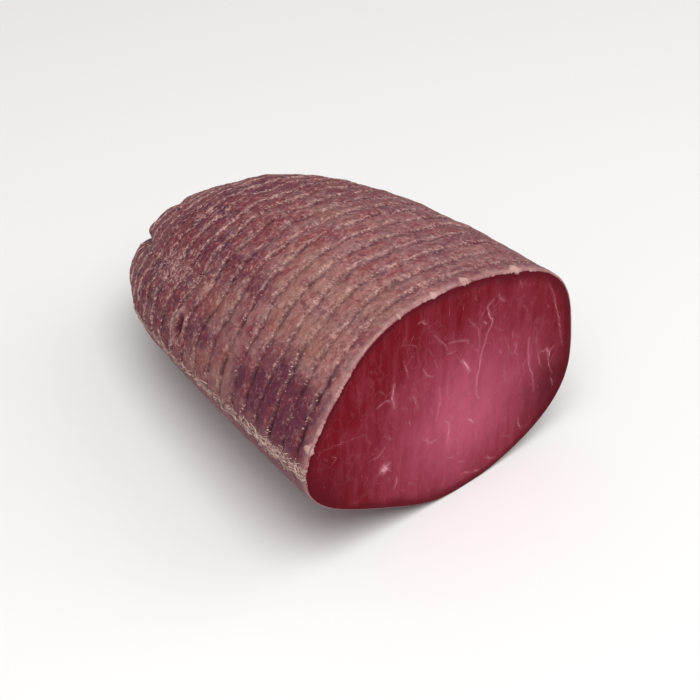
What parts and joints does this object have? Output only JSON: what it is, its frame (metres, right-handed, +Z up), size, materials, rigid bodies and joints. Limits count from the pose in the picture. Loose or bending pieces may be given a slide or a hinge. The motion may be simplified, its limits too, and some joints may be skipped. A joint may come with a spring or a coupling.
{
  "type": "half bresaola",
  "caption": "Half of a whole cured and air-dried beef muscle, ribbed by its net, tapering to a lobed end, with a flat marbled cut face.",
  "frame": {"origin": "on the surface it rests on, below the middle of its bounding box", "axes": "+X along the muscle, out of the cut face; +Z up; +Y across the muscle"},
  "size_m": [0.1818, 0.1426, 0.102],
  "materials": {
    "cured_beef": "dried brown-purple skin, matt and slightly waxy; the cut face is moist, smooth and crimson"
  },
  "bodies": {
    "root": {"bresaola": "cured_beef"}
  },
  "joints": []
}
